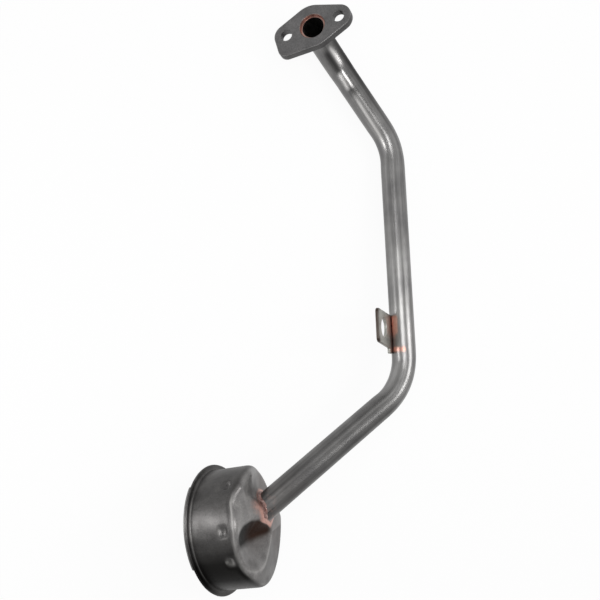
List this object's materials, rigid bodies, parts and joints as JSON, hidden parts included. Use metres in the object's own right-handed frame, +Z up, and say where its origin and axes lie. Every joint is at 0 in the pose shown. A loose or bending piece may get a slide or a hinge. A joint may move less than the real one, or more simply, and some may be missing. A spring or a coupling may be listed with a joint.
{
  "type": "oil pickup tube",
  "caption": "Bent steel suction tube with a bolted flange at one end and a stamped cup with a wire strainer at the other, drawing oil from an engine's sump to its pump.",
  "frame": {"origin": "midway between the bolt holes in the flange's gasket face, on the axis of the tube's mouth", "axes": "the part lies as it comes to rest on a level floor: +Z up, +Y along its longest extent from the cup towards the flange, +X from the cup towards the bracket's side"},
  "size_m": [0.1932, 0.4271, 0.0876],
  "materials": {
    "flange_steel": "dull grey stamped plate steel",
    "tube_steel": "satin drawn steel with lengthwise streaks",
    "bracket_steel": "grey sheet steel, copper tinted at its root",
    "cup_steel": "dark furnace-brazed sheet steel, mottled",
    "frame_steel": "grey sheet steel",
    "wire_steel": "bright wire cloth",
    "copper_braze": "copper braze, satin"
  },
  "bodies": {
    "root": {"mounting_flange": "flange_steel", "suction_tube": "tube_steel", "support_bracket": "bracket_steel", "pickup_cup": "cup_steel", "screen_frame": "frame_steel", "strainer_screen": "wire_steel", "flange_braze": "copper_braze", "bracket_braze": "copper_braze", "cup_braze": "copper_braze"}
  },
  "joints": []
}
